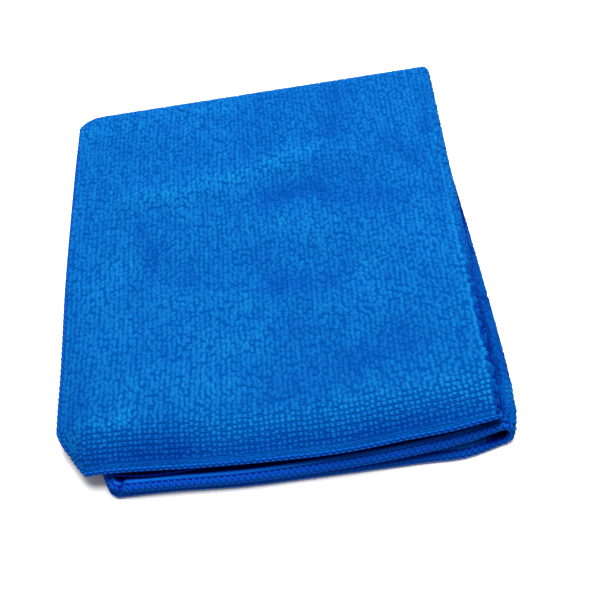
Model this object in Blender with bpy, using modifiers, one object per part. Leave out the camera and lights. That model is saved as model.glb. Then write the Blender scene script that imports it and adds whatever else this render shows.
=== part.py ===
"""A microfibre cleaning cloth: one 300 mm square of terry, hemmed all round,
folded in half (crease on the right) and in half again (crease at the back).

Four layers lie on each other.  From the surface up they are "floor", "third",
"second" and "top".  The floor and top layers are the outside of the second
fold, the third and second layers are its inside.
Metres, +Z up; the origin is the middle of the footprint, on the surface.
"""
import math

import bmesh
import bpy
import numpy as np
from mathutils import Matrix

MM = 0.001

# ---- driving sizes, in mm ---------------------------------------------------
CLOTH = 2.4            # thickness of the terry
PITCH = 3.3            # height from one layer to the next
BACK_FOLD_Y = 69.1     # where the layers start to turn round the back crease
HEM_SHARE = 0.85       # thickness of the sewn hem as a share of the terry's

# How the front left corners of the two pairs are cut off: how far back along
# each hem, and how full the curve is (1 is a straight bevel, 2 a round one).
CORNER = {
    "lower": {"across": 2.5, "along": 2.5, "fullness": 2.0},
    "upper": {"across": 10.0, "along": 15.5, "fullness": 1.15},
}

# Section of a free edge: how far in from the edge, and how thick it is there.
EDGE_IN = (0.0, 0.35, 1.1, 4.6, 7.0)
EDGE_THICKNESS = (0.40, 0.66, HEM_SHARE, HEM_SHARE, 1.0)

ACROSS = {"run": 148.0, "steps": 10}  # from a hem to the right crease, in mm and faces
ALONG = {"run": 150.0, "steps": 13}   # from a hem to the back crease
FOLD_STEPS = 8                        # faces round a crease

# How far the layers reach, seen from above (mm).  The columns are shares of the
# way along the edge that the row is about.
SHARE_TO_CREASE = (0.00, 0.17, 0.33, 0.50, 0.67, 0.80, 0.90, 1.00)
FRONT_Y = {
    "floor":  (-80.9, -81.4, -82.6, -82.7, -82.6, -82.5, -82.5, -79.7),
    "third":  (-80.0, -80.9, -81.9, -81.9, -81.3, -80.2, -78.8, -76.2),
    "second": (-71.6, -76.6, -75.9, -72.8, -72.2, -71.8, -71.6, -72.6),
    "top":    (-74.8, -74.7, -76.3, -77.4, -77.8, -76.7, -75.9, -74.0),
}
SHARE_TO_BACK = (0.00, 0.05, 0.15, 0.25, 0.50, 0.75, 1.00)
LEFT_X = {
    "floor":  (-62.2, -65.2, -66.9, -67.8, -69.8, -71.4, -72.2),
    "third":  (-61.4, -64.8, -67.1, -68.0, -70.0, -71.6, -72.2),
    "second": (-77.4, -77.8, -77.6, -77.2, -75.8, -74.1, -72.2),
    "top":    (-79.4, -79.8, -79.4, -78.4, -76.8, -74.7, -72.2),
}
CREASE_X = {
    "lower":  (74.4, 76.4, 77.0, 76.6, 75.0, 73.0, 72.0),
    "upper":  (71.0, 71.4, 71.6, 71.7, 71.8, 72.0, 72.2),
}

# Where the stack departs from flat (mm).  Each fades in from its first place to
# its second.
MOUTH = {"height": 2.4, "from_share": 0.42, "back_y": 30.0, "front_y": -65.0}
UPPER_MOUTH = {"height": 0.7, "from_share": 0.55, "back_y": 50.0, "front_y": -10.0}
MOUTH_BULGE = 0.3      # how far a crease bulges for each mm its mouth is open
FRONT_PRESS = {"drop": 1.7, "depth": 17.0}
OVERHANG = {"drop": 3.4, "reach": 15.0, "back_y": 20.0, "front_y": -60.0}
BACK_CORNER = {"draw": 3.6, "reach": 9.0, "front_y": 45.0, "back_y": 70.0}
SWELL = {"height": 0.55, "length_x": 31.0, "length_y": 37.0, "phase_x": 0.6, "phase_y": -0.4,
         "flat_y": 72.0, "full_y": 42.0}


def fade(value, start, end):
    """A smooth step from 0 at start to 1 at end."""
    t = np.clip((value - start) / (end - start), 0.0, 1.0)
    return t * t * (3.0 - 2.0 * t)


def along_curve(shares, values, at):
    """The smooth curve through a table row: cubic pieces with shared slopes."""
    shares = np.array(shares)
    values = np.array(values)
    slopes = np.gradient(values, shares)
    i = np.clip(np.searchsorted(shares, at, side="right") - 1, 0, len(shares) - 2)
    width = shares[i + 1] - shares[i]
    t = (at - shares[i]) / width
    rise = values[i + 1] - values[i]
    bend_in = slopes[i] * width - rise
    bend_out = rise - slopes[i + 1] * width
    return values[i] + rise * t + t * (1 - t) * (bend_in * (1 - t) + bend_out * t)


def fold_stations(run, steps):
    """Stations over one fold: from a free edge to the crease, round, and back.

    Gives each station's share of the way to the crease, its angle round the
    crease, and its thickness as a share of the terry's.
    """
    hem = np.array(EDGE_IN) / run
    way_in = np.concatenate([hem, np.linspace(hem[-1], 1.0, steps + 1)[1:]])
    thick_in = np.concatenate([EDGE_THICKNESS, np.ones(steps)])
    angle = np.linspace(0.0, math.pi, FOLD_STEPS + 1)[1:-1]
    share = np.concatenate([way_in, np.ones(len(angle)), way_in[::-1]])
    turn = np.concatenate([np.zeros(len(way_in)), angle, np.full(len(way_in), math.pi)])
    thick = np.concatenate([thick_in, np.ones(len(angle)), thick_in[::-1]])
    return share, turn, thick


def by_layer(rows, inner, upper):
    """Blend four layers' values by how far round each crease a point is."""
    lower_value = rows["floor"] * (1 - inner) + rows["third"] * inner
    upper_value = rows["top"] * (1 - inner) + rows["second"] * inner
    return lower_value * (1 - upper) + upper_value * upper


def blunt_corner(from_left, from_front, corner):
    """How far the points of a square corner move to lie inside a blunt one."""
    across = np.clip(1 - from_left / corner["across"], 0.0, None)
    along = np.clip(1 - from_front / corner["along"], 0.0, None)
    reach = np.maximum(across, along)
    power = corner["fullness"]
    length = np.maximum((across ** power + along ** power) ** (1 / power), 1e-9)
    scale = np.where((across > 0) & (along > 0), reach / length, 1.0)
    return across * (1 - scale) * corner["across"], along * (1 - scale) * corner["along"]


def opening(mouth, to_crease, y):
    """Height by which a fold stands open, over its layers."""
    across = fade(to_crease, mouth["from_share"], 1.0)
    return mouth["height"] * across * fade(y, mouth["back_y"], mouth["front_y"])


def folded_cloth():
    """Mid-surface of the folded cloth as a grid of points, and its thickness."""
    to_crease, crease_turn, thick_across = fold_stations(ACROSS["run"], ACROSS["steps"])
    to_back, back_turn, thick_along = fold_stations(ALONG["run"], ALONG["steps"])
    to_crease, to_back = np.meshgrid(to_crease, to_back, indexing="ij")
    crease_turn, back_turn = np.meshgrid(crease_turn, back_turn, indexing="ij")
    thick = np.minimum.outer(thick_across, thick_along)

    inner = (1 - np.cos(crease_turn)) / 2     # 0 floor and top, 1 third and second
    upper = (1 - np.cos(back_turn)) / 2       # 0 lower pair, 1 upper pair
    above_floor = inner + upper - inner * upper

    # Section through the back crease: the layers turn about one line.
    turn_radius = PITCH + PITCH / 2 * np.cos(crease_turn)
    turn_height = CLOTH / 2 + PITCH * 1.5
    z = turn_height - turn_radius * np.cos(back_turn)
    rise = (z - CLOTH / 2) / (3 * PITCH)

    # Outline of each layer.
    front = {k: along_curve(SHARE_TO_CREASE, v, to_crease) for k, v in FRONT_Y.items()}
    left = {k: along_curve(SHARE_TO_BACK, v, to_back) for k, v in LEFT_X.items()}
    crease = {k: along_curve(SHARE_TO_BACK, v, to_back) for k, v in CREASE_X.items()}
    front_y = by_layer(front, inner, upper)
    left_x = by_layer(left, inner, upper)
    crease_x = crease["lower"] * (1 - upper) + crease["upper"] * upper
    y = front_y + (BACK_FOLD_Y - front_y) * to_back + turn_radius * np.sin(back_turn)

    # The folds' mouths open towards the front right and lift what is over them.
    mouth = opening(MOUTH, to_crease, y)
    upper_mouth = opening(UPPER_MOUTH, to_crease, y)
    bulge = PITCH / 2 + MOUTH_BULGE * (mouth * (1 - upper) + upper_mouth * upper)
    turn_x = crease_x - CLOTH / 2 - bulge
    x = left_x + (turn_x - left_x) * to_crease + bulge * np.sin(crease_turn)
    z = z + mouth * above_floor + upper_mouth * upper * (1 - inner)

    # Blunt corners where two hems meet.
    corner = {size: CORNER["lower"][size] * (1 - upper) + CORNER["upper"][size] * upper
              for size in CORNER["lower"]}
    shift_x, shift_y = blunt_corner(x - left_x, y - front_y, corner)
    x = x + shift_x
    y = y + shift_y

    # The hem draws in the left end of the back crease.
    near_end = np.clip(1 - (x - left_x) / BACK_CORNER["reach"], 0.0, 1.0)
    near_back = fade(y, BACK_CORNER["front_y"], BACK_CORNER["back_y"])
    y = y - BACK_CORNER["draw"] * near_end ** 2 * near_back

    # Slow swells, the pressed front, and the front left corner, which overhangs.
    swell = np.sin(x / SWELL["length_x"] + SWELL["phase_x"])
    swell = swell * np.cos(y / SWELL["length_y"] + SWELL["phase_y"])
    swell = swell * fade(np.abs(y), SWELL["flat_y"], SWELL["full_y"])
    z = z + SWELL["height"] * swell * rise
    z = z - FRONT_PRESS["drop"] * rise * fade(y - front_y, FRONT_PRESS["depth"], 0.0)
    over = fade(left["third"] - x, 0.0, OVERHANG["reach"])
    over = over * fade(y, OVERHANG["back_y"], OVERHANG["front_y"])
    z = z - OVERHANG["drop"] * over * upper
    return np.stack([x, y, z], axis=-1) * MM, thick


def new_collection(name):
    collection = bpy.data.collections.new(name)
    bpy.context.scene.collection.children.link(collection)
    return collection


def terry_material():
    """Royal blue polyester and polyamide terry."""
    material = bpy.data.materials.new("microfibre_terry")
    material.use_nodes = True
    shader = material.node_tree.nodes["Principled BSDF"]
    shader.inputs["Base Color"].default_value = (0.006, 0.14, 0.55, 1.0)
    shader.inputs["Roughness"].default_value = 0.95
    shader.inputs["Metallic"].default_value = 0.0
    return material


def cloth_object(collection):
    """A flat grid laid on the folded mid-surface, then given its thickness."""
    points, thick = folded_cloth()
    steps_across = points.shape[0] - 1
    steps_along = points.shape[1] - 1

    mesh = bpy.data.meshes.new("cloth")
    bm = bmesh.new()
    bmesh.ops.create_grid(bm, x_segments=steps_across, y_segments=steps_along, size=0.5)
    bm.verts.ensure_lookup_table()
    weights = []
    for vert in bm.verts:
        i = round((vert.co.x + 0.5) * steps_across)
        j = round((vert.co.y + 0.5) * steps_along)
        vert.co = points[i, j]
        weights.append(thick[i, j])
    bm.to_mesh(mesh)
    bm.free()

    cloth = bpy.data.objects.new("cloth", mesh)
    collection.objects.link(cloth)
    group = cloth.vertex_groups.new(name="thickness")
    for index, weight in enumerate(weights):
        group.add([index], weight, "REPLACE")
    wall = cloth.modifiers.new("terry", "SOLIDIFY")
    wall.thickness = CLOTH * MM
    wall.offset = 0.0
    wall.vertex_group = group.name
    wall.thickness_vertex_group = 0.0
    mesh.materials.append(terry_material())
    mesh.shade_smooth()
    return cloth


def stand_on_origin(obj):
    """Move the mesh so that the footprint's middle, on the surface, is the origin."""
    bpy.context.view_layer.update()
    solid = obj.evaluated_get(bpy.context.evaluated_depsgraph_get()).to_mesh()
    points = np.array([vert.co for vert in solid.vertices])
    low = points.min(axis=0)
    high = points.max(axis=0)
    middle = (low + high) / 2
    obj.data.transform(Matrix.Translation((-middle[0], -middle[1], -low[2])))
    obj.evaluated_get(bpy.context.evaluated_depsgraph_get()).to_mesh_clear()


def main():
    for obj in list(bpy.data.objects):
        bpy.data.objects.remove(obj, do_unlink=True)
    cloth = cloth_object(new_collection("microfibre_cloth"))
    stand_on_origin(cloth)


main()
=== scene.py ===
"""Looks of a plain blue microfibre cleaning cloth, folded in quarters.

The folded solid is the frame.  Round it go the knitted ground, the loop pile on
both faces and the overlocked hem.  Sizes are in mm, and MM turns them into metres.
"""
import math

import bpy
import numpy as np
from mathutils import Matrix, Vector


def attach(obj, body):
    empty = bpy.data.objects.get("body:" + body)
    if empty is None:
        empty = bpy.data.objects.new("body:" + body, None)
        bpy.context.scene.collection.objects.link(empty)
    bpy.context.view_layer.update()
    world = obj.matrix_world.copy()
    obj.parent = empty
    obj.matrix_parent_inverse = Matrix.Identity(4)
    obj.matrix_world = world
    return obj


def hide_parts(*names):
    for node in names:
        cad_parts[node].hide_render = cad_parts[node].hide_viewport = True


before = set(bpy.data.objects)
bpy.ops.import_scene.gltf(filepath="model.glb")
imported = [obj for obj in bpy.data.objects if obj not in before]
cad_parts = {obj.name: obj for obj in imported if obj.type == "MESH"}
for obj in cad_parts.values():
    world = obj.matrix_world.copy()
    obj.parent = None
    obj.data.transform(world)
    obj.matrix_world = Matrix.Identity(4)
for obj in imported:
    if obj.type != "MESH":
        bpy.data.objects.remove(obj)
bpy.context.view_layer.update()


# ==== Knitted ground ==========================================================
# A 300 mm square of warp-knitted polyester and polyamide, the fabric that the
# loops stand on.  It is folded in half, crease on the right, and in half again,
# crease at the back.  From the surface up its layers are floor, third, second, top.
MM = 0.001
SHIFT = (1.337, 3.742)     # from the tables' coordinates to the footprint's middle
TERRY = 2.4                # over the tips of both piles
PITCH = 3.3                # height from one layer to the next
BACK_FOLD_Y = 69.1         # where the layers start to turn round the back crease
RUN_ACROSS = 148.0         # flat cloth from a hem to the right crease
RUN_ALONG = 150.0          # flat cloth from a hem to the back crease

# How the front left corners of the two pairs are cut off: how far back along
# each hem, and how full the curve is (1 is a straight bevel, 2 a round one).
CORNER = {
    "lower": {"across": 2.5, "along": 2.5, "fullness": 2.0},
    "upper": {"across": 10.0, "along": 15.5, "fullness": 1.15},
}

# How far the layers reach, seen from above.  The columns are shares of the way
# along the edge that the row is about.
SHARE_TO_CREASE = (0.00, 0.17, 0.33, 0.50, 0.67, 0.80, 0.90, 1.00)
FRONT_Y = {
    "floor":  (-80.9, -81.4, -82.6, -82.7, -82.6, -82.5, -82.5, -79.7),
    "third":  (-80.0, -80.9, -81.9, -81.9, -81.3, -80.2, -78.8, -76.2),
    "second": (-69.6, -76.0, -75.9, -72.8, -72.2, -71.8, -71.6, -72.6),
    "top":    (-73.6, -74.7, -76.3, -77.4, -77.8, -76.7, -75.9, -74.0),
}
SHARE_TO_BACK = (0.00, 0.05, 0.15, 0.25, 0.50, 0.75, 1.00)
LEFT_X = {
    "floor":  (-62.2, -65.2, -66.9, -67.8, -69.8, -71.4, -72.2),
    "third":  (-61.4, -64.8, -67.1, -68.0, -70.0, -71.6, -72.2),
    "second": (-77.4, -77.8, -77.6, -77.2, -75.8, -74.1, -72.2),
    "top":    (-79.4, -79.8, -79.4, -78.4, -76.8, -74.7, -72.2),
}
CREASE_X = {
    "lower":  (74.4, 76.4, 77.0, 76.6, 75.0, 73.0, 72.0),
    "upper":  (71.0, 71.4, 71.6, 71.7, 71.8, 72.0, 72.2),
}

# Where the stack departs from flat.  Each fades in from its first place to its second.
MOUTH = {"height": 2.4, "from_share": 0.42, "back_y": 30.0, "front_y": -65.0}
UPPER_MOUTH = {"height": 0.7, "from_share": 0.55, "back_y": 50.0, "front_y": -10.0}
MOUTH_BULGE = 0.3          # how far a crease bulges for each mm its mouth is open
FRONT_PRESS = {"drop": 1.7, "depth": 17.0}
OVERHANG = {"drop": 3.4, "reach": 15.0, "back_y": 20.0, "front_y": -60.0}
BACK_CORNER = {"draw": 3.6, "reach": 9.0, "front_y": 45.0, "back_y": 70.0}
SWELL = {"height": 0.55, "length_x": 31.0, "length_y": 37.0, "phase_x": 0.6, "phase_y": -0.4,
         "flat_y": 72.0, "full_y": 42.0}
# The third layer's front hem rolls up to a lip, with a pleat at its left corner.
# The pleat's shade is painted shade in its trough.
THIRD_LIP = {"height": 0.5, "in": 2.2, "half": 1.8}
CORNER_PLEAT = {"line": (-58.6, -77.5, -55.6, -72.0), "half": 1.1, "depth": 1.5, "shade": 0.85}

# Soft creases left by folding, seen from above: the line's two ends, its half
# width, and its height, which is negative for a trough.
SOFT_CREASES = (
    # x0,   y0,   x1,   y1,  half, height
    (-48.0, 33.0, 36.0, 42.0, 6.0, 0.75),
    (4.0, 27.0, 54.0, 29.0, 7.0, -0.45),
    (-50.0, 2.0, 34.0, -9.0, 9.0, -0.60),
    (34.0, -37.0, 50.0, -41.0, 6.0, -0.40),
    (-62.0, -30.0, -28.0, -47.0, 9.0, 0.40),
    (52.0, 64.0, 66.0, 40.0, 6.0, 0.35),
)


def fade(value, start, end):
    """A smooth step from 0 at start to 1 at end."""
    t = np.clip((value - start) / (end - start), 0.0, 1.0)
    return t * t * (3.0 - 2.0 * t)


def along_curve(shares, values, at):
    """The smooth curve through a table row: cubic pieces with shared slopes."""
    shares = np.array(shares)
    values = np.array(values)
    slopes = np.gradient(values, shares)
    i = np.clip(np.searchsorted(shares, at, side="right") - 1, 0, len(shares) - 2)
    width = shares[i + 1] - shares[i]
    t = (at - shares[i]) / width
    rise = values[i + 1] - values[i]
    bend_in = slopes[i] * width - rise
    bend_out = rise - slopes[i + 1] * width
    return values[i] + rise * t + t * (1 - t) * (bend_in * (1 - t) + bend_out * t)


def by_layer(rows, inner, upper):
    """Blend four layers' values by how far round each crease a point is."""
    lower_value = rows["floor"] * (1 - inner) + rows["third"] * inner
    upper_value = rows["top"] * (1 - inner) + rows["second"] * inner
    return lower_value * (1 - upper) + upper_value * upper


def opening(mouth, to_crease, y):
    """Height by which a fold stands open, over its layers."""
    across = fade(to_crease, mouth["from_share"], 1.0)
    return mouth["height"] * across * fade(y, mouth["back_y"], mouth["front_y"])


def blunt_corner(from_left, from_front, corner):
    """How far the points of a square corner move to lie inside a blunt one."""
    across = np.clip(1 - from_left / corner["across"], 0.0, None)
    along = np.clip(1 - from_front / corner["along"], 0.0, None)
    reach = np.maximum(across, along)
    power = corner["fullness"]
    length = np.maximum((across ** power + along ** power) ** (1 / power), 1e-9)
    scale = np.where((across > 0) & (along > 0), reach / length, 1.0)
    return across * (1 - scale) * corner["across"], along * (1 - scale) * corner["along"]


def crease_line(x, y, x0, y0, x1, y1, half):
    """1 on a line from (x0, y0) to (x1, y1), fading like a bell beside it and past its ends."""
    run_x, run_y = x1 - x0, y1 - y0
    share = np.clip(((x - x0) * run_x + (y - y0) * run_y) / (run_x ** 2 + run_y ** 2), 0.0, 1.0)
    away = np.hypot(x - x0 - share * run_x, y - y0 - share * run_y)
    return np.exp(-(away / half) ** 2)


def corner_pleat(x, y):
    """1 on the pleat's line at the third layer's corner, fading beside it."""
    return crease_line(x, y, *CORNER_PLEAT["line"], CORNER_PLEAT["half"])


HALF_TURN_ACROSS = math.pi * PITCH / 4                    # flat cloth in half the right crease
HALF_ACROSS = RUN_ACROSS + HALF_TURN_ACROSS               # from the right crease to a hem


def half_turn_along(across):
    """Flat cloth in half the back crease: long outside, short inside."""
    turn = np.clip(across / (2 * HALF_TURN_ACROSS) + 0.5, 0.0, 1.0) * math.pi
    return math.pi / 2 * (PITCH + PITCH / 2 * np.cos(turn))


def half_along(across):
    """Flat cloth from the back crease to a front hem."""
    return RUN_ALONG + half_turn_along(across)


def lay(across, along):
    """Middle of the folded cloth over places on the flat cloth.

    across and along are mm from the right and back creases.  Negative is the
    outside of the first fold and the lower pair, positive its inside and the
    upper pair.  Both folds are runs joined by half circles, stretched to the tables.
    """
    crease_turn = np.clip(across / (2 * HALF_TURN_ACROSS) + 0.5, 0.0, 1.0) * math.pi
    to_crease = 1 - np.clip(np.abs(across) - HALF_TURN_ACROSS, 0.0, None) / RUN_ACROSS
    turn = half_turn_along(across)
    back_turn = np.clip(along / (2 * turn) + 0.5, 0.0, 1.0) * math.pi
    to_back = 1 - np.clip(np.abs(along) - turn, 0.0, None) / RUN_ALONG

    inner = (1 - np.cos(crease_turn)) / 2     # 0 floor and top, 1 third and second
    upper = (1 - np.cos(back_turn)) / 2       # 0 lower pair, 1 upper pair
    above_floor = inner + upper - inner * upper

    turn_radius = PITCH + PITCH / 2 * np.cos(crease_turn)
    z = TERRY / 2 + PITCH * 1.5 - turn_radius * np.cos(back_turn)
    rise = (z - TERRY / 2) / (3 * PITCH)

    front = {k: along_curve(SHARE_TO_CREASE, v, to_crease) for k, v in FRONT_Y.items()}
    left = {k: along_curve(SHARE_TO_BACK, v, to_back) for k, v in LEFT_X.items()}
    crease = {k: along_curve(SHARE_TO_BACK, v, to_back) for k, v in CREASE_X.items()}
    front_y = by_layer(front, inner, upper)
    left_x = by_layer(left, inner, upper)
    crease_x = crease["lower"] * (1 - upper) + crease["upper"] * upper
    y = front_y + (BACK_FOLD_Y - front_y) * to_back + turn_radius * np.sin(back_turn)

    mouth = opening(MOUTH, to_crease, y)
    upper_mouth = opening(UPPER_MOUTH, to_crease, y)
    bulge = PITCH / 2 + MOUTH_BULGE * (mouth * (1 - upper) + upper_mouth * upper)
    turn_x = crease_x - TERRY / 2 - bulge
    x = left_x + (turn_x - left_x) * to_crease + bulge * np.sin(crease_turn)
    z = z + mouth * above_floor + upper_mouth * upper * (1 - inner)

    corner = {size: CORNER["lower"][size] * (1 - upper) + CORNER["upper"][size] * upper
              for size in CORNER["lower"]}
    shift_x, shift_y = blunt_corner(x - left_x, y - front_y, corner)
    x = x + shift_x
    y = y + shift_y

    near_end = np.clip(1 - (x - left_x) / BACK_CORNER["reach"], 0.0, 1.0)
    near_back = fade(y, BACK_CORNER["front_y"], BACK_CORNER["back_y"])
    y = y - BACK_CORNER["draw"] * near_end ** 2 * near_back

    swell = np.sin(x / SWELL["length_x"] + SWELL["phase_x"])
    swell = swell * np.cos(y / SWELL["length_y"] + SWELL["phase_y"])
    swell = swell * fade(np.abs(y), SWELL["flat_y"], SWELL["full_y"])
    z = z + SWELL["height"] * swell * rise
    z = z - FRONT_PRESS["drop"] * rise * fade(y - front_y, FRONT_PRESS["depth"], 0.0)
    over = fade(left["third"] - x, 0.0, OVERHANG["reach"])
    over = over * fade(y, OVERHANG["back_y"], OVERHANG["front_y"])
    z = z - OVERHANG["drop"] * over * upper

    third = inner * (1 - upper)
    from_lip = (y - front_y - THIRD_LIP["in"]) / THIRD_LIP["half"]
    z = z + THIRD_LIP["height"] * third * np.exp(-from_lip ** 2)

    # The soft creases go through all layers and die out at the floor.
    x = x + SHIFT[0]
    y = y + SHIFT[1]
    z = z - CORNER_PLEAT["depth"] * third * corner_pleat(x, y)
    for *line, height in SOFT_CREASES:
        z = z + height * rise * crease_line(x, y, *line)
    return np.stack([x, y, z], axis=-1)


def unit(vectors):
    """Each vector over its own length."""
    return vectors / np.maximum(np.linalg.norm(vectors, axis=-1, keepdims=True), 1e-9)


def frame_at(across, along):
    """Point, unit steps across and along, and the way out of the first fold."""
    step = 0.3
    point = lay(across, along)
    edge_a = HALF_ACROSS
    edge_b = half_along(across)
    step_a = lay(np.clip(across + step, -edge_a, edge_a), along)
    step_a = step_a - lay(np.clip(across - step, -edge_a, edge_a), along)
    step_b = lay(across, np.clip(along + step, -edge_b, edge_b))
    step_b = step_b - lay(across, np.clip(along - step, -edge_b, edge_b))
    step_a = unit(step_a)
    out = unit(np.cross(step_b, step_a))
    return point, step_a, unit(np.cross(step_a, out)), out


def from_hem(across, along):
    """Distance on the flat cloth to the nearest free edge."""
    return np.minimum(HALF_ACROSS - np.abs(across), half_along(across) - np.abs(along))


def new_piece(name, points, faces, material):
    """An object of points (mm) and faces (rows of corner numbers), shaded smooth."""
    mesh = bpy.data.meshes.new(name)
    mesh.vertices.add(len(points))
    mesh.vertices.foreach_set("co", (points * MM).astype(np.float32).ravel())
    mesh.loops.add(faces.size)
    mesh.loops.foreach_set("vertex_index", faces.astype(np.int32).ravel())
    mesh.polygons.add(len(faces))
    mesh.polygons.foreach_set("loop_start", np.arange(len(faces)) * faces.shape[1])
    mesh.update(calc_edges=True)
    mesh.validate()
    mesh.shade_smooth()
    mesh.materials.append(material)
    piece = bpy.data.objects.new(name, mesh)
    bpy.context.scene.collection.objects.link(piece)
    return piece


def grid_faces(rows, columns):
    """Quads of a grid whose points are numbered row by row."""
    i, j = np.meshgrid(np.arange(rows - 1), np.arange(columns - 1), indexing="ij")
    first = (i * columns + j).ravel()
    return np.stack([first, first + columns, first + columns + 1, first + 1], axis=1)


# Thickness of the ground and the dense feet of its loops, from a free edge
# inwards: the overlock squeezes the terry to a rounded rim.
HEM = 3.0
GROUND_IN = (0.0, 0.25, 0.8, 1.7, HEM - 0.8, HEM, 3.6, 4.2, 4.9, 6.5, 8.0)
GROUND_THICKNESS = (0.35, 0.95, 1.4, 1.4, 1.4, 1.7, 1.7, 1.7, 1.7, 1.7, 1.7)
GROUND_STEP = 3.0
# The lower pair's front hem is smooth and paler, and its loops begin further in,
# but where the right crease turns it they come up to the stitches.
SMOOTH_HEM = {"stitched": 0.3, "full": 0.9, "end": 6.5, "gone": 8.0, "from_crease": (6.0, 16.0),
              "thicker": 0.45, "thin_again": 12.0}
# Where the layers face each other the fibre is painted darker from the rim inwards:
# painted shade between the layers.  Each pair is the place where a shade begins and
# where it is full.  The lower pair's front hem, out to front_hem, has its own two,
# for the third and the floor layer.
GAP_SHADE = {"tone": 0.003, "rim_tone": 0.22, "from_crease": (6.0, 14.0), "from_rim": (0.0, 1.8),
          "second_layer": (-2.0, 0.6), "third_layer": (2.9, 3.7), "floor_layer": (4.0, 4.7),
          "front_hem": (16.0, 12.0)}


def ground_half(across, along):
    """Half the ground's thickness at a place: set by its depth, and more at the smooth hem."""
    half = np.interp(from_hem(across, along), GROUND_IN, GROUND_THICKNESS) / 2
    at_smooth = fade(half_along(across) + along, SMOOTH_HEM["thin_again"], SMOOTH_HEM["end"])
    return half * (1.0 + SMOOTH_HEM["thicker"] * at_smooth)


def smooth_hem(across, along):
    """1 on the smooth part of the lower pair's front hem."""
    from_front = half_along(across) + along
    smooth = fade(from_front, SMOOTH_HEM["stitched"], SMOOTH_HEM["full"])
    smooth = smooth * fade(from_front, SMOOTH_HEM["gone"], SMOOTH_HEM["end"])
    return smooth * fade(np.abs(across), *SMOOTH_HEM["from_crease"])


def gap_shade_tone(across, along, side):
    """Painted shade on the fibre: 1 where it shows, less where the layers face each other and in the
    corner pleat.

    side is 1 outside the first fold, -1 inside it and 0 on the rim.
    """
    between = fade(across, *GAP_SHADE["from_crease"])
    # The second layer's rim chain, under the top layer, gets painted shade.
    if side == 0:
        return 1.0 - (1.0 - GAP_SHADE["rim_tone"]) * between * (along > 0)
    hidden = between if side > 0 else np.ones_like(between)
    at_smooth = fade(half_along(across) + along, *GAP_SHADE["front_hem"])
    at_smooth = at_smooth * fade(np.abs(across), *SMOOTH_HEM["from_crease"])
    depth = from_hem(across, along)
    in_pile = np.where((across > 0) & (along > 0),
                       fade(depth, *GAP_SHADE["second_layer"]), fade(depth, *GAP_SHADE["from_rim"]))
    lower_layer = np.where(across > 0,
                           fade(depth, *GAP_SHADE["third_layer"]), fade(depth, *GAP_SHADE["floor_layer"]))
    hidden = hidden * (in_pile * (1.0 - at_smooth) + lower_layer * at_smooth)
    x, y, _ = np.moveaxis(lay(across, along), -1, 0)
    # Painted shade in the pleat's trough at the third layer's corner.
    pleat = corner_pleat(x, y) * (across > 0) * (along < 0)
    return (1.0 - (1.0 - GAP_SHADE["tone"]) * hidden) * (1.0 - CORNER_PLEAT["shade"] * pleat)


# Painted shade down the front of the top face, where it slopes away from the light:
# how deep that shade is, by x, and how dark.  The ground takes it from the first
# place in from the hem to the second.
FRONT_SHADE = {"x": (-68.0, -60.0, -50.0, -36.0, -28.0, -20.0, -12.0, 12.0, 20.0, 28.0, 66.0),
               "depth": (28.0, 24.0, 25.0, 26.0, 20.0, 15.0, 16.0, 16.0, 13.0, 16.0, 17.0),
               "change": (-0.58, -0.70, -0.76, -0.74, -0.62, -0.60, -0.59, -0.59, -0.61, -0.70, -0.65),
               "full_y": -74.0, "ground_in": (2.0, 4.0)}


def front_shade(x, y):
    """Painted shade down to the front of the top face, by place as seen from above."""
    start = FRONT_SHADE["full_y"] + np.interp(x, FRONT_SHADE["x"], FRONT_SHADE["depth"])
    change = np.interp(x, FRONT_SHADE["x"], FRONT_SHADE["change"])
    return change * fade(y, start, FRONT_SHADE["full_y"])


def stations(half, half_turn, turn_steps):
    """Places along one way of the cloth: fine at hems and creases, even between."""
    hem = half - np.array(GROUND_IN)
    run = np.linspace(hem[-1], half_turn, round((hem[-1] - half_turn) / GROUND_STEP) + 1)
    way_in = np.concatenate([hem, run[1:]])
    turn = np.linspace(-half_turn, half_turn, turn_steps + 1)[1:-1]
    return np.concatenate([-way_in, turn, way_in[::-1]])


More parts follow.
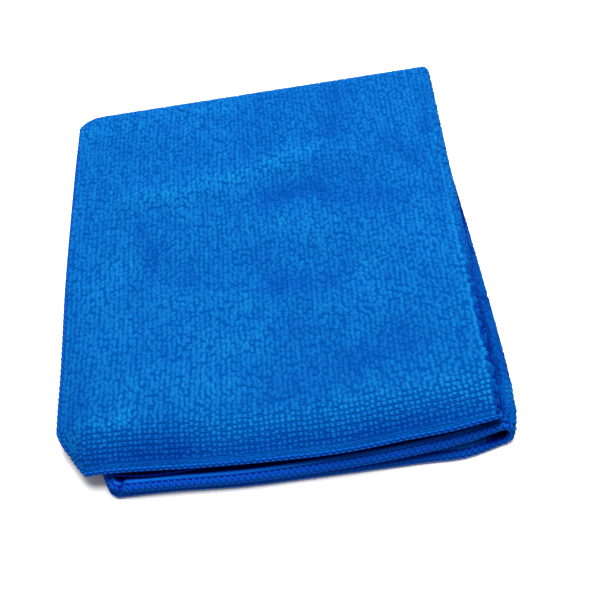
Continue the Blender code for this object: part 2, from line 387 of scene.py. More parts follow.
def dye_and_shade_group():
    """Blue dye as seen on fibre, with painted light and shade.

    A mask picks a colour from deep to bright, slow noise over the object shifts
    it, and a tone dims it: red and green by the tone, blue by a root of it.
    The tone carries painted light and shade as well as random differences.
    """
    group = bpy.data.node_groups.new("blue_dye_and_shade", "ShaderNodeTree")
    for name, kind in (("Deep", "NodeSocketColor"), ("Bright", "NodeSocketColor"),
                       ("Mask", "NodeSocketFloat"), ("Tone", "NodeSocketFloat")):
        group.interface.new_socket(name, in_out="INPUT", socket_type=kind)
    group.interface.new_socket("Color", in_out="OUTPUT", socket_type="NodeSocketColor")
    nodes, links = group.nodes, group.links
    given = nodes.new("NodeGroupInput")
    result = nodes.new("NodeGroupOutput")
    place = nodes.new("ShaderNodeTexCoord")
    slow = nodes.new("ShaderNodeTexNoise")
    slow.inputs["Scale"].default_value = 42.0
    slow.inputs["Detail"].default_value = 3.0
    links.new(place.outputs["Object"], slow.inputs["Vector"])
    patch = nodes.new("ShaderNodeMapRange")
    patch.inputs["From Min"].default_value = 0.3
    patch.inputs["From Max"].default_value = 0.7
    patch.inputs["To Min"].default_value = 0.90
    patch.inputs["To Max"].default_value = 1.10
    links.new(slow.outputs["Fac"], patch.inputs["Value"])
    shade = nodes.new("ShaderNodeMath")
    shade.operation = "MULTIPLY"
    links.new(given.outputs["Mask"], shade.inputs[0])
    links.new(patch.outputs["Result"], shade.inputs[1])
    mix = nodes.new("ShaderNodeMix")
    mix.data_type = "RGBA"
    toned = nodes.new("ShaderNodeMix")
    toned.data_type = "RGBA"
    toned.blend_type = "MULTIPLY"
    toned.inputs["Factor"].default_value = 1.0
    links.new(shade.outputs[0], mix.inputs["Factor"])
    links.new(given.outputs["Deep"], mix.inputs["A"])
    links.new(given.outputs["Bright"], mix.inputs["B"])
    links.new(mix.outputs["Result"], toned.inputs["A"])
    blue = nodes.new("ShaderNodeMath")
    blue.operation = "POWER"
    blue.inputs[1].default_value = 0.40
    dimmed = nodes.new("ShaderNodeCombineColor")
    links.new(given.outputs["Tone"], blue.inputs[0])
    links.new(given.outputs["Tone"], dimmed.inputs["Red"])
    links.new(given.outputs["Tone"], dimmed.inputs["Green"])
    links.new(blue.outputs[0], dimmed.inputs["Blue"])
    links.new(dimmed.outputs["Color"], toned.inputs["B"])
    links.new(toned.outputs["Result"], result.inputs["Color"])
    return group


DYE_AND_SHADE = dye_and_shade_group()


def fibre_material(name, deep, bright, roughness, sheen):
    """A matt fibre material with the dye group on its base colour; its tone attribute carries painted
    light and shade.
    """
    material = bpy.data.materials.new(name)
    material.use_nodes = True
    nodes, links = material.node_tree.nodes, material.node_tree.links
    shader = nodes["Principled BSDF"]
    shader.inputs["Roughness"].default_value = roughness
    shader.inputs["Specular IOR Level"].default_value = 0.01
    shader.inputs["Sheen Weight"].default_value = sheen
    shader.inputs["Sheen Roughness"].default_value = 0.45
    shader.inputs["Sheen Tint"].default_value = (0.03, 0.45, 1.0, 1.0)
    dye_and_shade = nodes.new("ShaderNodeGroup")
    dye_and_shade.node_tree = DYE_AND_SHADE
    dye_and_shade.inputs["Deep"].default_value = (*deep, 1.0)
    dye_and_shade.inputs["Bright"].default_value = (*bright, 1.0)
    dye_and_shade.inputs["Mask"].default_value = 0.5
    tone = nodes.new("ShaderNodeAttribute")
    tone.attribute_name = "tone"
    links.new(tone.outputs["Fac"], dye_and_shade.inputs["Tone"])
    links.new(dye_and_shade.outputs["Color"], shader.inputs["Base Color"])
    return material, dye_and_shade


def point_values(piece, name, values):
    """An attribute of the piece's mesh that its material reads."""
    layer = piece.data.attributes.new(name, "FLOAT", "POINT")
    layer.data.foreach_set("value", values.astype(np.float32).ravel())


WAVE_BAND = 0.314          # from band to band of a wave texture whose scale is 1


def knit_bump(material, wale, course):
    """Ribs of the knit: two waves on the flat cloth's own map, as a bump.

    wale and course are mm from rib to rib and from row to row.
    """
    nodes, links = material.node_tree.nodes, material.node_tree.links
    flat = nodes.new("ShaderNodeUVMap")
    flat.uv_map = "flat_cloth"
    ribs = nodes.new("ShaderNodeTexWave")
    ribs.inputs["Scale"].default_value = WAVE_BAND / wale
    ribs.inputs["Distortion"].default_value = 0.6
    rows = nodes.new("ShaderNodeTexWave")
    rows.bands_direction = "Y"
    rows.inputs["Scale"].default_value = WAVE_BAND / course
    rows.inputs["Distortion"].default_value = 0.6
    height = nodes.new("ShaderNodeMath")
    height.operation = "ADD"
    bump = nodes.new("ShaderNodeBump")
    bump.inputs["Strength"].default_value = 0.9
    bump.inputs["Distance"].default_value = 0.22 * MM
    links.new(flat.outputs["UV"], ribs.inputs["Vector"])
    links.new(flat.outputs["UV"], rows.inputs["Vector"])
    links.new(ribs.outputs["Fac"], height.inputs[0])
    links.new(rows.outputs["Fac"], height.inputs[1])
    links.new(height.outputs[0], bump.inputs["Height"])
    links.new(bump.outputs["Normal"], nodes["Principled BSDF"].inputs["Normal"])


# The back crease takes more cloth outside than inside, so its stations are made
# for one even half turn, which is then scaled.
EVEN_TURN = 10.0
across = stations(HALF_ACROSS, HALF_TURN_ACROSS, turn_steps=12)
even_along = stations(RUN_ALONG + EVEN_TURN, EVEN_TURN, turn_steps=18)
across, even_along = np.meshgrid(across, even_along, indexing="ij")
turn = half_turn_along(across)
along = np.where(np.abs(even_along) > EVEN_TURN,
                 np.sign(even_along) * (np.abs(even_along) - EVEN_TURN + turn),
                 even_along / EVEN_TURN * turn)
middle, _, _, out = frame_at(across, along)
half = ground_half(across, along)[..., None]
rows, columns = across.shape
face = grid_faces(rows, columns)
numbers = np.arange(rows * columns).reshape(rows, columns)
rim = np.concatenate([numbers[:-1, 0], numbers[-1, :-1], numbers[1:, -1][::-1], numbers[0, 1:][::-1]])
rim_next = np.roll(rim, -1)
to_inner = rows * columns     # from a point's number to that of the point under it
rim_faces = np.stack([rim, rim_next, rim_next + to_inner, rim + to_inner], axis=1)
points = np.concatenate([(middle + out * half).reshape(-1, 3), (middle - out * half).reshape(-1, 3)])
points[:, 2] = np.maximum(points[:, 2], 0.0)
faces = np.concatenate([face[:, ::-1], face + to_inner, rim_faces])

ground_material, ground_dye_and_shade = fibre_material(
    "knitted_ground", (0.0003, 0.070, 0.315), (0.0044, 0.140, 0.640), 0.9, 0.05)
pale = ground_material.node_tree.nodes.new("ShaderNodeAttribute")
pale.attribute_name = "smooth_hem"
ground_material.node_tree.links.new(pale.outputs["Fac"], ground_dye_and_shade.inputs["Mask"])
knit_bump(ground_material, wale=0.9, course=0.9)
ground = new_piece("knitted_ground", points, faces, ground_material)
flat_map = ground.data.uv_layers.new(name="flat_cloth")
flat_places = np.stack([across, along], axis=-1).reshape(-1, 2)
flat_places = np.concatenate([flat_places, flat_places])
flat_map.data.foreach_set("uv", flat_places[faces.ravel()].astype(np.float32).ravel())
point_values(ground, "smooth_hem", np.stack([smooth_hem(across, along)] * 2))
# Painted shade between the layers, and down the front of the top face.
ground_tone = np.stack([gap_shade_tone(across, along, side) for side in (1, -1)])
# Painted shade down the top face's front, on the ground between the loops too.
shaded = (along > 0) * fade(from_hem(across, along), *FRONT_SHADE["ground_in"])
ground_tone[0] *= 1.0 + front_shade(middle[..., 0], middle[..., 1]) * shaded
point_values(ground, "tone", ground_tone)
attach(ground, "root")
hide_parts("cloth")


# ==== Loop pile ===============================================================
# Short twisted loops of split microfibre, knitted in with the ground in ribs
# from front to back, on both faces.  Each loop is a bead that leans its own way,
# close to the next in its rib.
WALE = 1.79                # from rib to rib
ROW = 1.77                 # from loop to loop along a rib
LOOP = {"height": 0.28, "along": 1.16, "across": 0.77}
TIP_STRETCH = {"across": 1.7, "along": 1.24}   # how far apart a crease's outside spreads the tips
# Section of a bead, from its root up: share of its height, share of its width.
BEAD = ((-0.40, 1.00), (0.30, 0.92), (0.72, 0.62), (1.00, 0.0))
BEAD_SIDES = 4
PILE_FROM = 1.2            # how near the cut edge the loops begin
# Near the hems the rows line up and the loops stand apart.  Further in, the ribs
# close up and each drifts along its own way.
OPEN_ROWS = {"full": 12.0, "none": 21.0, "shorter": 0.45, "narrower": 0.15, "lighter": 0.33}
DRIFT = {"shift": 0.85, "tone": 0.06, "length": 7.0, "ribs": 260, "knots": 70}
# Slow waves by which the ribs sway and the rows lift: mm of shift, mm across and
# mm along for each radian, and where the wave starts.
WAVES = {
    "sway": ((0.45, 41.0, 23.0, 0.0), (0.25, -17.0, 9.0, 1.0)),
    "lift": ((0.35, 19.0, 37.0, 2.0), (0.20, 7.5, -13.0, 0.0)),
}
NO_SWAY = 12.0             # the sway dies out from here to the right crease
# How unlike each other the loops are, in the open rows and further in: their places
# in mm, their turn in radians and their size as a share.
UNLIKE = {"across": (0.17, 0.22), "along": (0.18, 0.32), "turn": (0.30, 0.40), "size": (0.10, 0.13)}
SPREAD = {"height": 0.12, "lean": 0.18, "tone": 0.07}      # the same everywhere
LIMITS = {"size": (0.6, 1.5), "height": (0.6, 1.3), "tone": (0.6, 1.4)}
OUTSIDE_END = 10.0         # how far past the right crease the outer face's loops run
OUTSIDE_SPLIT = -75.0      # where the outer face's loops are parted in two pieces
INSIDE_DEPTH = 12.0        # how far in from the hems the hidden faces get loops
INSIDE_CLEAR = 0.5         # how far they stay from where the right crease turns
FAR = 400.0                # well past the edges of the cloth
HALF_ALONG = half_along(-HALF_ACROSS)
rng = np.random.default_rng(7)


def even_tips(pitch, low, high, half_turn, stretch):
    """Places whose tips are a pitch apart: closer where a crease spreads them."""
    tip = [-FAR - half_turn * (stretch - 1), -half_turn * stretch, half_turn * stretch,
           FAR + half_turn * (stretch - 1)]
    count = math.ceil(FAR / 2 / pitch)
    places = np.interp(np.arange(-count, count + 1) * pitch, tip, [-FAR, -half_turn, half_turn, FAR])
    return places[(places > low) & (places < high)]


def loop_places(low, high, stretched):
    """Ribs from low to high by rows from hem to hem, spread for the outside of a crease."""
    stretch = TIP_STRETCH if stretched else {"across": 1.0, "along": 1.0}
    ribs = even_tips(WALE, low, high, HALF_TURN_ACROSS, stretch["across"])
    half_turn = half_turn_along(-HALF_ACROSS if stretched else HALF_ACROSS)
    rows = even_tips(ROW, -HALF_ALONG, HALF_ALONG, half_turn, stretch["along"])
    return [places.ravel() for places in np.meshgrid(ribs, rows, indexing="ij")]


RIB_KNOTS = rng.normal(0.0, 1.0, (2, DRIFT["ribs"], DRIFT["knots"]))


def rib_drift(across, along, kind):
    """Slow random change along each rib: its own knots, a length apart, joined smoothly.

    kind 0 is a shift of the loops, and kind 1 a change of tone.
    """
    rib = np.round(across / WALE).astype(int) + DRIFT["ribs"] // 2
    place = along / DRIFT["length"] + DRIFT["knots"] / 2
    knot = np.floor(place).astype(int)
    t = fade(place - knot, 0.0, 1.0)
    return RIB_KNOTS[kind, rib, knot] * (1 - t) + RIB_KNOTS[kind, rib, knot + 1] * t


def open_rows(across, along):
    """1 near the front hems, where the rows stand apart, and 0 further in."""
    return fade(half_along(across) - np.abs(along), OPEN_ROWS["none"], OPEN_ROWS["full"])


def unlike(kind, across, along):
    """How much the loops differ at a place, blended from the open rows to further in."""
    in_rows, further_in = UNLIKE[kind]
    return further_in + (in_rows - further_in) * open_rows(across, along)


def wander(kind, across, along):
    """Sum of a kind's waves at a place, in mm."""
    return sum(shift * np.sin(across / wide + along / long + start)
               for shift, wide, long, start in WAVES[kind])


# Painted light and shade on the top face's pile, along lines seen from above.
LIGHT_AND_SHADE_STROKES = (
    # x0,   y0,    x1,    y1,   half, change
    (-48.0, 33.0, -10.0, 36.0, 4.5, 0.26),
    (-10.0, 36.0, 22.0, 44.0, 3.5, 0.26),
    (14.0, 56.0, 13.0, 46.0, 3.0, 0.10),
    (-70.0, 69.0, -10.0, 71.0, 4.0, 0.18),
    (61.0, 66.0, 60.0, 52.0, 3.5, 0.10),
    (-28.0, 30.0, -27.0, 8.0, 5.0, 0.12),
    (8.0, 12.0, 23.0, 9.0, 5.0, 0.14),
    (58.0, 10.0, 62.0, -14.0, 6.0, 0.09),
    (-64.0, -8.0, -53.0, 5.0, 6.0, 0.16),
    (37.0, -10.0, 36.0, -28.0, 3.5, 0.15),
    (-38.0, -12.0, -8.0, -19.0, 4.5, 0.14),
    (-28.0, -30.0, -6.0, -33.0, 6.0, 0.18),
    (-66.0, -26.0, -50.0, -23.0, 5.0, 0.12),
    (-55.0, -42.0, -36.0, -42.0, 5.0, 0.22),
    (-29.0, -48.0, -14.0, -48.0, 5.5, 0.20),
    (-61.0, -54.0, -52.0, -53.0, 4.0, 0.30),
    (54.0, -54.0, 67.0, -62.0, 4.0, 0.15),
    (3.0, 25.0, 22.0, 28.0, 4.5, -0.36),
    (27.0, 36.0, 38.0, 28.0, 4.0, -0.16),
    (26.0, 23.0, 46.0, 20.0, 4.5, -0.22),
    (44.0, 14.0, 54.0, 13.0, 4.0, -0.14),
    (52.0, 43.0, 61.0, 32.0, 3.5, -0.22),
    (35.0, 69.0, 31.0, 52.0, 5.5, -0.25),
    (6.0, 67.0, -3.0, 48.0, 5.0, -0.10),
    (69.0, 62.0, 67.0, 46.0, 3.0, -0.18),
    (68.0, 20.0, 68.0, 6.0, 2.5, -0.12),
    (-62.0, 61.0, -44.0, 55.0, 4.0, -0.08),
    (-45.0, 18.0, -42.0, 8.0, 4.0, -0.17),
    (-42.0, 8.0, -24.0, -8.0, 4.0, -0.13),
    (-3.0, 2.0, 4.0, -11.0, 4.0, -0.17),
    (4.0, -12.0, 24.0, -12.0, 4.0, -0.21),
    (6.0, -30.0, 20.0, -31.0, 5.0, -0.15),
    (4.0, -47.0, 22.0, -46.0, 7.0, -0.14),
    (30.0, -44.0, 46.0, -41.0, 6.0, -0.22),
    (44.0, -33.0, 44.0, -28.0, 3.5, -0.14),
    (-9.0, -55.0, 8.0, -54.0, 4.0, -0.15),
    (-76.0, -53.0, -69.0, -47.0, 4.0, -0.20),
)
# Painted light on the upper pair's right crease: a painted highlight on its crest,
# painted shade on its side that darkens to the front, and a painted shadow on the
# lower pair's crease beside it.
CREST_HIGHLIGHT = {"across": -3.4, "half": 0.8, "change": 0.26, "back_y": 45.0, "full_y": 15.0}
CREASE_SIDE_SHADE = {"from": -2.7, "to": -2.0, "change": -0.87, "back_y": 22.0, "full_y": -42.0,
               "lighter": 0.5, "light_from": -0.9, "light_to": 0.3}
SHADOW_BESIDE = {"tone": 0.60, "shaded": 0.22, "from": 3.5, "to": 1.5, "streaks": 0.25, "across": (-4.0, -1.0)}


def painted_light_and_shade(across, along, point):
    """Painted light and shade of the outer pile by place: 1 plus the strokes, the front shade and the
    crease's own highlight and shade.
    """
    x, y = point[:, 0], point[:, 1]
    top = np.ones(len(point))
    for *line, change in LIGHT_AND_SHADE_STROKES:
        top = top + change * crease_line(x, y, *line)
    top = top + front_shade(x, y)
    # Painted highlight along the crest.
    crest = CREST_HIGHLIGHT["change"] * np.exp(-((across - CREST_HIGHLIGHT["across"]) / CREST_HIGHLIGHT["half"]) ** 2)
    crest = crest * fade(y, CREST_HIGHLIGHT["back_y"], CREST_HIGHLIGHT["full_y"])
    # Painted shade on the crease's side, lighter again further under.
    side = CREASE_SIDE_SHADE["change"] * fade(across, CREASE_SIDE_SHADE["from"], CREASE_SIDE_SHADE["to"])
    lighter = CREASE_SIDE_SHADE["lighter"] * fade(across, CREASE_SIDE_SHADE["light_from"], CREASE_SIDE_SHADE["light_to"])
    side = side * (1.0 - lighter) * fade(y, CREASE_SIDE_SHADE["back_y"], CREASE_SIDE_SHADE["full_y"])
    top = top * (1.0 + crest + side)

    # Painted shadow of the upper crease on the lower pair's crease, with streaks that differ at random
    # along the ribs.
    beside = x - lay(np.zeros_like(along), -along)[:, 0]
    shaded = fade(beside, SHADOW_BESIDE["from"], SHADOW_BESIDE["to"])
    lower = SHADOW_BESIDE["tone"] + (SHADOW_BESIDE["shaded"] - SHADOW_BESIDE["tone"]) * shaded
    lower = lower * np.exp(SHADOW_BESIDE["streaks"] * rib_drift(across, along, 1))
    lower = 1.0 + (lower - 1.0) * fade(across, *SHADOW_BESIDE["across"])
    return np.where(along > 0, top, lower)


def bead_mesh(across, along, side):
    """Beads at places on the flat cloth.  side is 1 outside the first fold, -1 in it.

    A bead is a soft square cushion.  Its points are rings of BEAD_SIDES corners
    about an upright line that leans: the line runs from the root by lean times
    the square of the height's share.
    """
    count = len(across)
    point, step_a, step_b, out = frame_at(across, along)
    ground = ground_half(across, along)
    up = out * side
    turned = rng.normal(0.0, 1.0, count) * unlike("turn", across, along)
    wide_way = step_a * np.cos(turned)[:, None] + step_b * np.sin(turned)[:, None]
    long_way = unit(np.cross(wide_way, up))
    wide_way = np.cross(up, long_way)
    size = 1.0 + rng.normal(0.0, 1.0, (count, 2)) * unlike("size", across, along)[:, None]
    size = np.clip(size, *LIMITS["size"])
    size[:, 0] *= LOOP["along"] * (1.0 - OPEN_ROWS["shorter"] * open_rows(across, along))
    size[:, 1] *= LOOP["across"] * (1.0 - OPEN_ROWS["narrower"] * open_rows(across, along))
    size = size * math.sqrt(2.0)      # from the sides' places to the corners'
    height = LOOP["height"] * np.clip(rng.normal(1.0, SPREAD["height"], count), *LIMITS["height"])
    lean = step_a * rng.normal(0.0, SPREAD["lean"], count)[:, None]
    lean = lean + step_b * rng.normal(0.0, SPREAD["lean"], count)[:, None]
    angle = (np.arange(BEAD_SIDES) + 0.5) * 2 * math.pi / BEAD_SIDES
    rings = []
    for level, width in BEAD[:-1]:
        ring = (point + up * (ground + height * level)[:, None] + lean * max(level, 0.0) ** 2)[:, None, :]
        ring = ring + long_way[:, None, :] * (width * size[:, :1] * np.cos(angle))[..., None]
        ring = ring + wide_way[:, None, :] * (width * size[:, 1:] * np.sin(angle))[..., None]
        rings.append(ring)
    rings.append((point + up * (ground + height)[:, None] + lean)[:, None, :])
    points = np.concatenate(rings, axis=1)

    k = np.arange(BEAD_SIDES)
    after = (k + 1) % BEAD_SIDES
    bands = []
    for ring in range(len(BEAD) - 2):
        low, high = ring * BEAD_SIDES, (ring + 1) * BEAD_SIDES
        bands.append(np.stack([low + k, low + after, high + after], axis=1))
        bands.append(np.stack([low + k, high + after, high + k], axis=1))
    last = (len(BEAD) - 2) * BEAD_SIDES
    bands.append(np.stack([last + k, last + after, np.full(BEAD_SIDES, last + BEAD_SIDES)], axis=1))
    one = np.concatenate(bands)
    faces = (one[None] + (np.arange(count) * points.shape[1])[:, None, None]).reshape(-1, 3)

    share = np.repeat([level for level, _ in BEAD], [BEAD_SIDES] * (len(BEAD) - 1) + [1])
    tip_share = np.tile(np.clip(share, 0.0, 1.0), count)
    tone = rng.normal(1.0, SPREAD["tone"], count) + DRIFT["tone"] * rib_drift(across, along, 1)
    tone = np.clip(tone, *LIMITS["tone"])
    tone = tone * gap_shade_tone(across, along, side)
    tone = tone * (1.0 + OPEN_ROWS["lighter"] * open_rows(across, along))
    if side > 0:
        # Painted light and shade on the outer face's loops.
        tone = tone * painted_light_and_shade(across, along, point)
    points = points.reshape(-1, 3)
    points[:, 2] = np.maximum(points[:, 2], 0.0)
    return points, faces, tip_share, np.repeat(tone, len(share))


# The loops' feet are darker than their tips, painted shade between the loops, and
# fine fluff breaks both up.
pile_material, pile_dye_and_shade = fibre_material(
    "looped_pile", (0.0006, 0.070, 0.290), (0.0031, 0.107, 0.364), 0.9, 0.08)
nodes, links = pile_material.node_tree.nodes, pile_material.node_tree.links
height_share = nodes.new("ShaderNodeAttribute")
height_share.attribute_name = "tip_share"
# Painted shade: the mask falls from the loops' tips to their feet.
rise = nodes.new("ShaderNodeMapRange")
rise.inputs["From Min"].default_value = 0.5
rise.inputs["From Max"].default_value = 1.0
rise.inputs["To Min"].default_value = 0.25
rise.inputs["To Max"].default_value = 1.15
links.new(height_share.outputs["Fac"], rise.inputs["Value"])
place = nodes.new("ShaderNodeTexCoord")
fibres = nodes.new("ShaderNodeTexNoise")
fibres.inputs["Scale"].default_value = 2600.0
fibres.inputs["Detail"].default_value = 2.0
fluff = nodes.new("ShaderNodeBump")
fluff.inputs["Strength"].default_value = 0.7
fluff.inputs["Distance"].default_value = 0.08 * MM
tufts = nodes.new("ShaderNodeMapRange")
tufts.inputs["From Min"].default_value = 0.3
tufts.inputs["From Max"].default_value = 0.7
tufts.inputs["To Min"].default_value = -0.30
tufts.inputs["To Max"].default_value = 0.30
lit = nodes.new("ShaderNodeMath")
lit.operation = "ADD"
links.new(fibres.outputs["Fac"], tufts.inputs["Value"])
links.new(rise.outputs["Result"], lit.inputs[0])
links.new(tufts.outputs["Result"], lit.inputs[1])
links.new(lit.outputs[0], pile_dye_and_shade.inputs["Mask"])
links.new(place.outputs["Object"], fibres.inputs["Vector"])
links.new(fibres.outputs["Fac"], fluff.inputs["Height"])
links.new(fluff.outputs["Normal"], nodes["Principled BSDF"].inputs["Normal"])


def pile_piece(name, across, along, side):
    """One joined mesh of loops at the places that are on the cloth, inside the hem."""
    sway = wander("sway", across, along)
    lift = wander("lift", across, along)
    drift = DRIFT["shift"] * rib_drift(across, along, 0) * (1.0 - open_rows(across, along))
    across = across + sway * np.clip(np.abs(across) / NO_SWAY, 0.0, 1.0)
    along = along + lift + drift
    across = across + rng.normal(0.0, 1.0, len(across)) * unlike("across", across, along)
    along = along + rng.normal(0.0, 1.0, len(along)) * unlike("along", across, along)
    smooth_end = SMOOTH_HEM["end"] * fade(np.abs(across), *SMOOTH_HEM["from_crease"])
    kept = (from_hem(across, along) > PILE_FROM) & (half_along(across) + along > smooth_end)
    points, faces, tip_share, tone = bead_mesh(across[kept], along[kept], side)
    piece = new_piece(name, points, faces, pile_material)
    point_values(piece, "tip_share", tip_share)
    point_values(piece, "tone", tone)
    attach(piece, "root")
    return piece


a, b = loop_places(-HALF_ACROSS, OUTSIDE_END, stretched=True)
left = a < OUTSIDE_SPLIT
for name, chosen in (
    ("pile_top_left", (b > 0) & left),
    ("pile_top_right", (b > 0) & ~left),
    ("pile_under_left", (b <= 0) & left),
    ("pile_under_right", (b <= 0) & ~left),
):
    pile_piece(name, a[chosen], b[chosen], 1)

a, b = loop_places(OUTSIDE_END, HALF_ACROSS, stretched=False)
near = from_hem(a, b) < INSIDE_DEPTH
pile_piece("pile_between_pairs", a[near], b[near], 1)
a, b = loop_places(-HALF_ACROSS, HALF_ACROSS, stretched=False)
near = (from_hem(a, b) < INSIDE_DEPTH) & (np.abs(a) > HALF_TURN_ACROSS + INSIDE_CLEAR)
pile_piece("pile_inside_lower", a[near & (b < 0)], b[near & (b < 0)], -1)
pile_piece("pile_inside_upper", a[near & (b > 0)], b[near & (b > 0)], -1)


# ==== Overlocked hem ==========================================================
# Bulky threads sewn over the cut edge all round: a looper zigzags on each face
# from the needle's line to the rim, and the two chain together along the rim.
STITCH = 2.1
NEEDLE_LINE = 2.2          # from the cut edge
LOOPER = {"wide": 0.58, "high": 0.12, "steps": 12, "turns_at": 0.4, "over": 0.072}
# The needle's thread is dimmed by its tone: painted shade in the needle's holes.
NEEDLE = {"wide": 0.22, "high": 0.14, "steps": 6, "over": 0.25, "dips": 0.3, "tone": 0.3}
CHAIN = {"wide": 0.40, "high": 0.50, "steps": 8, "in": 0.06, "sways": 0.05}
# The threads sink into the pile, from the first place in from the rim to the second,
# but not on the smooth hem, where they are a little darker than the cloth is.
SUNK = {"by": 0.6, "from": 0.7, "to": 1.5, "past_smooth": (6.0, 12.0)}
DARKER_SEWN = 0.28
LEAST_IN = 0.02            # no place on the cloth is nearer its rim than this
# Places where the rim is measured: round each corner, and at the right crease.
CORNER_PLACES = 17
CREASE_PLACES = {"half": 3.0, "count": 13}


def hem_walk():
    """Places round the cut edge, 1 mm apart or less, and the way in from each.

    At a corner the way in points to the corner's inner end, in the square
    coordinates that lay() bends into the blunt corner.
    """
    places, ways = [], []
    for sign_a, sign_b, order in ((-1, -1, 1), (1, -1, -1), (1, 1, 1), (-1, 1, -1)):
        corner = CORNER["lower"] if sign_b < 0 else CORNER["upper"]
        half_b = half_along(sign_a * HALF_ACROSS)
        angles = np.linspace(0.0, math.pi / 2, CORNER_PLACES)[::order]
        most = np.maximum(np.cos(angles), np.sin(angles))
        to_centre_a = corner["across"] * np.cos(angles) / most
        to_centre_b = corner["along"] * np.sin(angles) / most
        from_side = corner["across"] - to_centre_a
        from_end = corner["along"] - to_centre_b
        one = np.where(from_side < from_end, corner["across"], corner["along"])
        places.append(np.stack([sign_a * (HALF_ACROSS - from_side), sign_b * (half_b - from_end)], axis=1))
        ways.append(np.stack([-sign_a * to_centre_a / one, -sign_b * to_centre_b / one], axis=1))
        if sign_a == sign_b:   # the front hems cross the right crease
            crease = np.linspace(-CREASE_PLACES["half"], CREASE_PLACES["half"], CREASE_PLACES["count"])
            crease = -sign_a * crease
            places.append(np.stack([crease, sign_b * half_along(crease)], axis=1))
            ways.append(np.stack([0 * crease, 0 * crease - sign_b], axis=1))
    places = np.concatenate([*places, places[0][:1]])
    ways = np.concatenate([*ways, ways[0][:1]])
    gone = np.concatenate([[0.0], np.cumsum(np.linalg.norm(np.diff(places, axis=0), axis=1))])
    even = np.linspace(0.0, gone[-1], int(gone[-1]))
    places = np.stack([np.interp(even, gone, places[:, k]) for k in (0, 1)], axis=1)
    ways = np.stack([np.interp(even, gone, ways[:, k]) for k in (0, 1)], axis=1)
    return places, ways


hem_places, hem_ways = hem_walk()
rim_line = lay(hem_places[:, 0], hem_places[:, 1])
rim_gone = np.concatenate([[0.0], np.cumsum(np.linalg.norm(np.diff(rim_line, axis=0), axis=1))])
STITCHES = round(rim_gone[-1] / STITCH)


def sewn_thread(thread, inset, side, lift, tone=1.0):
    """A closed tube that runs once round the hem.

    inset and lift give, from the share of a stitch gone by, how far in from the
    rim the thread lies and how high over the cloth.  Its section is an ellipse of
    four sides, thread["wide"] by thread["high"] in its halves.
    """
    count = STITCHES * thread["steps"]
    share = np.arange(count) / thread["steps"]
    gone = share / STITCHES * rim_gone[-1]
    place = np.stack([np.interp(gone, rim_gone, hem_places[:, k]) for k in (0, 1)], axis=1)
    way = np.stack([np.interp(gone, rim_gone, hem_ways[:, k]) for k in (0, 1)], axis=1)
    into = inset(share)
    on_cloth = np.maximum(into, LEAST_IN)
    across, along = np.moveaxis(place + way * on_cloth[:, None], -1, 0)
    point, _, _, out = frame_at(across, along)
    further_in = place + way * (on_cloth + 0.5)[:, None]
    outward = unit(point - lay(further_in[:, 0], further_in[:, 1]))
    in_pile = fade(half_along(across) + along, *SUNK["past_smooth"])
    ground = ground_half(across, along) - SUNK["by"] * in_pile * fade(into, SUNK["from"], SUNK["to"])
    line = point + out * (side * (ground + lift(share)))[:, None]
    line = line - outward * np.minimum(into, 0.0)[:, None]
    run = unit(np.roll(line, -1, axis=0) - np.roll(line, 1, axis=0))
    across_run = unit(np.cross(run, out * side if side else out))
    up = np.cross(across_run, run)
    wide = across_run * thread["wide"]
    high = up * thread["high"]
    points = np.stack([line + wide, line + high, line - wide, line - high], axis=1).reshape(-1, 3)
    points[:, 2] = np.maximum(points[:, 2], 0.0)
    i, k = np.meshgrid(np.arange(count), np.arange(4), indexing="ij")
    first = i * 4 + k
    beside = i * 4 + (k + 1) % 4
    after = ((i + 1) % count) * 4
    faces = np.stack([first, after + k, after + (k + 1) % 4, beside], axis=-1).reshape(-1, 4)
    shown = gap_shade_tone(across, along, side) * (1.0 - DARKER_SEWN * smooth_hem(across, along))
    return points, faces, np.repeat(tone * shown, 4)


def zigzag(share):
    """From the needle's line to near the rim and back, once a stitch."""
    middle = (NEEDLE_LINE + LOOPER["turns_at"]) / 2
    return middle + (NEEDLE_LINE - middle) * np.cos(2 * math.pi * share)


def over_looper(share):
    """The looper's thread lies at one height on the cloth."""
    return np.full(len(share), LOOPER["over"])


def needle_line(share):
    """The needle's thread keeps one way in from the rim."""
    return np.full(len(share), NEEDLE_LINE)


def needle_dip(share):
    """The needle's thread shows between two holes of each stitch."""
    return NEEDLE["over"] - NEEDLE["dips"] * np.cos(2 * math.pi * share)


def chain_sway(share):
    """The chain sways in and out a little at the rim, once a stitch."""
    return CHAIN["in"] - CHAIN["sways"] * np.cos(2 * math.pi * share)


thread_material, thread_dye_and_shade = fibre_material(
    "bulky_thread", (0.0002, 0.053, 0.360), (0.0034, 0.086, 0.500), 0.8, 0.05)
thread_dye_and_shade.inputs["Mask"].default_value = 0.75


def thread_piece(name, tubes):
    """Sewn threads joined in one piece."""
    starts = np.cumsum([0] + [len(points) for points, _, _ in tubes])
    piece = new_piece(name, np.concatenate([points for points, _, _ in tubes]),
                      np.concatenate([faces + start for (_, faces, _), start in zip(tubes, starts)]),
                      thread_material)
    point_values(piece, "tone", np.concatenate([tone for _, _, tone in tubes]))
    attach(piece, "root")
    return piece


overlock = [
    thread_piece("looper_threads", [
        sewn_thread(LOOPER, zigzag, side, over_looper) for side in (1, -1)]),
    thread_piece("needle_threads", [
        sewn_thread(NEEDLE, needle_line, side, needle_dip, tone=NEEDLE["tone"]) for side in (1, -1)]),
    thread_piece("rim_chain", [sewn_thread(CHAIN, chain_sway, 0, np.zeros_like)]),
]


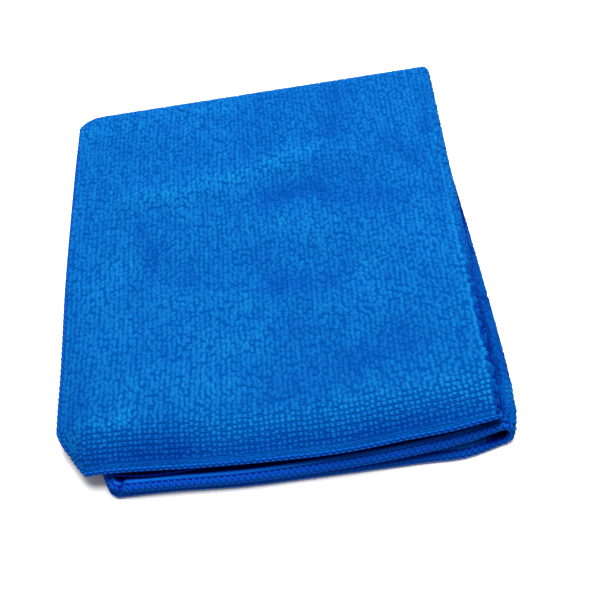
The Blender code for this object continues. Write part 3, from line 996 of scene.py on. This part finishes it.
# ==== Floor, light and camera =================================================
# A plain near-white surface under soft light from above and behind.
floor_mesh = bpy.data.meshes.new("floor")
floor_mesh.from_pydata([(-4, -4, 0), (4, -4, 0), (4, 4, 0), (-4, 4, 0)], [], [(0, 1, 2, 3)])
floor = bpy.data.objects.new("floor", floor_mesh)
bpy.context.scene.collection.objects.link(floor)
floor_paint = bpy.data.materials.new("floor_paint")
floor_paint.use_nodes = True
floor_shader = floor_paint.node_tree.nodes["Principled BSDF"]
floor_shader.inputs["Base Color"].default_value = (0.93, 0.93, 0.93, 1.0)
floor_shader.inputs["Roughness"].default_value = 0.9
floor_shader.inputs["Specular IOR Level"].default_value = 0.1
floor_mesh.materials.append(floor_paint)


def soft_light(name, place, size, watts):
    """A square area light that faces the cloth."""
    light = bpy.data.lights.new(name, "AREA")
    light.size = size
    light.energy = watts
    lamp = bpy.data.objects.new(name, light)
    lamp.location = place
    lamp.rotation_euler = (-Vector(place)).to_track_quat("-Z", "Y").to_euler()
    bpy.context.scene.collection.objects.link(lamp)


soft_light("softbox", (0.16, 0.42, 1.12), 0.7, 28.6)

world = bpy.data.worlds.new("studio")
world.use_nodes = True
world.node_tree.nodes["Background"].inputs["Color"].default_value = (1.0, 1.0, 1.0, 1.0)
world.node_tree.nodes["Background"].inputs["Strength"].default_value = 0.27
bpy.context.scene.world = world
bpy.context.scene.view_settings.view_transform = "Standard"

# The camera is 0.27 m from the cloth and looks steeply down at it, rolled.
CAMERA_AT = (25.137, -129.888, 255.41)
AZIMUTH, ELEVATION, ROLL = (math.radians(degrees) for degrees in (-7.3, 65.3, -14.7))
ahead = Vector((math.sin(AZIMUTH) * math.cos(ELEVATION), math.cos(AZIMUTH) * math.cos(ELEVATION),
                -math.sin(ELEVATION)))
level = Vector((math.cos(AZIMUTH), -math.sin(AZIMUTH), 0.0))
upright = level.cross(ahead)
right = level * math.cos(ROLL) + upright * math.sin(ROLL)
up = upright * math.cos(ROLL) - level * math.sin(ROLL)
camera_data = bpy.data.cameras.new("camera")
camera_data.lens = 45.36
camera_data.sensor_width = 36.0
camera_data.clip_start = 0.01
camera = bpy.data.objects.new("camera", camera_data)
turned = Matrix((right, up, -ahead)).transposed().to_4x4()
camera.matrix_world = Matrix.Translation(Vector(CAMERA_AT) * MM) @ turned
bpy.context.scene.collection.objects.link(camera)
bpy.context.scene.camera = camera
